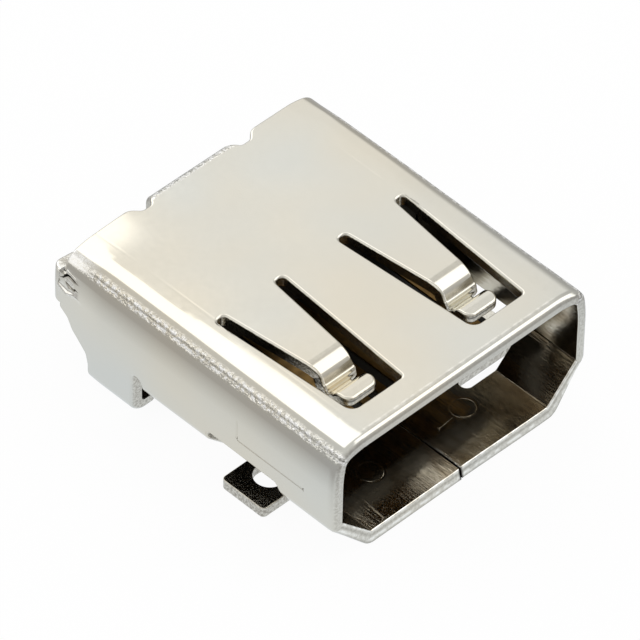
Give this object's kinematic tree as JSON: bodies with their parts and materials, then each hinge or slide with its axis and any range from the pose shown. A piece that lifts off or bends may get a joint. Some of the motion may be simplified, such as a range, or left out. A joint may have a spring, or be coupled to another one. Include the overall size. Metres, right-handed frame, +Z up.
{
  "type": "micro size board receptacle",
  "caption": "Small surface-mount cable socket: folded metal shell with two roof latch springs and two holed solder tabs, around a black tongue with gold contacts.",
  "frame": {"origin": "middle of the bounding box on the board plane, directly under the shell", "axes": "-Y out of the mouth, +Z up from the board, +X across to the right seen from the mouth"},
  "size_m": [0.0066, 0.0074, 0.0028],
  "materials": {
    "plated_sheet": "bright nickel plating over sheet metal, slightly rough on the bends",
    "black_resin": "black moulded resin, satin",
    "gold_plating": "thin gold plating, smooth"
  },
  "bodies": {
    "root": {"shell": "plated_sheet", "insulator": "black_resin", "contact_upper_1": "gold_plating", "contact_upper_2": "gold_plating", "contact_upper_3": "gold_plating", "contact_upper_4": "gold_plating", "contact_upper_5": "gold_plating", "contact_upper_6": "gold_plating", "contact_upper_7": "gold_plating", "contact_upper_8": "gold_plating", "contact_upper_9": "gold_plating", "contact_upper_10": "gold_plating", "contact_lower_1": "gold_plating", "contact_lower_2": "gold_plating", "contact_lower_3": "gold_plating", "contact_lower_4": "gold_plating", "contact_lower_5": "gold_plating", "contact_lower_6": "gold_plating", "contact_lower_7": "gold_plating", "contact_lower_8": "gold_plating", "contact_lower_9": "gold_plating"}
  },
  "joints": []
}
